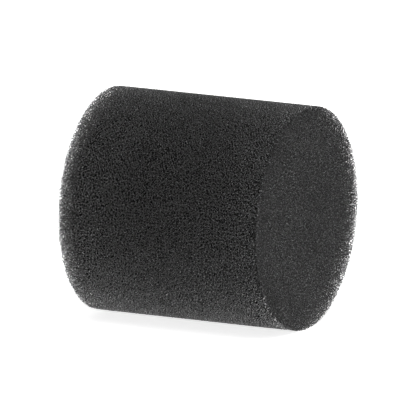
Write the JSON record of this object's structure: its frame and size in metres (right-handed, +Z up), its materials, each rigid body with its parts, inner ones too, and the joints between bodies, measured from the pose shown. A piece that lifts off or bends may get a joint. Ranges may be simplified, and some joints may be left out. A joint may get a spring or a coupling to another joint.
{
  "type": "sponge filter",
  "caption": "Closed-end cylinder of black open-cell foam that pushes onto a slotted strainer tube, with a rubber grommet for an inlet pipe.",
  "frame": {"origin": "on the surface the part lies on, under the middle of its overall length", "axes": "+X along the filter's axis towards the sponge's closed end, +Z up, the pipe goes in at -X"},
  "size_m": [0.0632, 0.06, 0.06],
  "materials": {
    "foam": "matte",
    "strainer_plastic": "satin",
    "cap_plastic": "satin",
    "grommet_rubber": "matte"
  },
  "bodies": {
    "strainer": {"strainer_tube": "strainer_plastic", "strainer_cap": "cap_plastic"},
    "sponge": {"sponge": "foam"},
    "grommet": {"pipe_grommet": "grommet_rubber"}
  },
  "joints": [
    {"name": "sponge_pull", "type": "slide", "parent": "strainer", "child": "sponge", "axis": [1, 0, 0], "range_m": [0, 0.04]},
    {"name": "grommet_pull", "type": "slide", "parent": "strainer", "child": "grommet", "axis": [-1, 0, 0], "range_m": [0, 0.0075]}
  ]
}
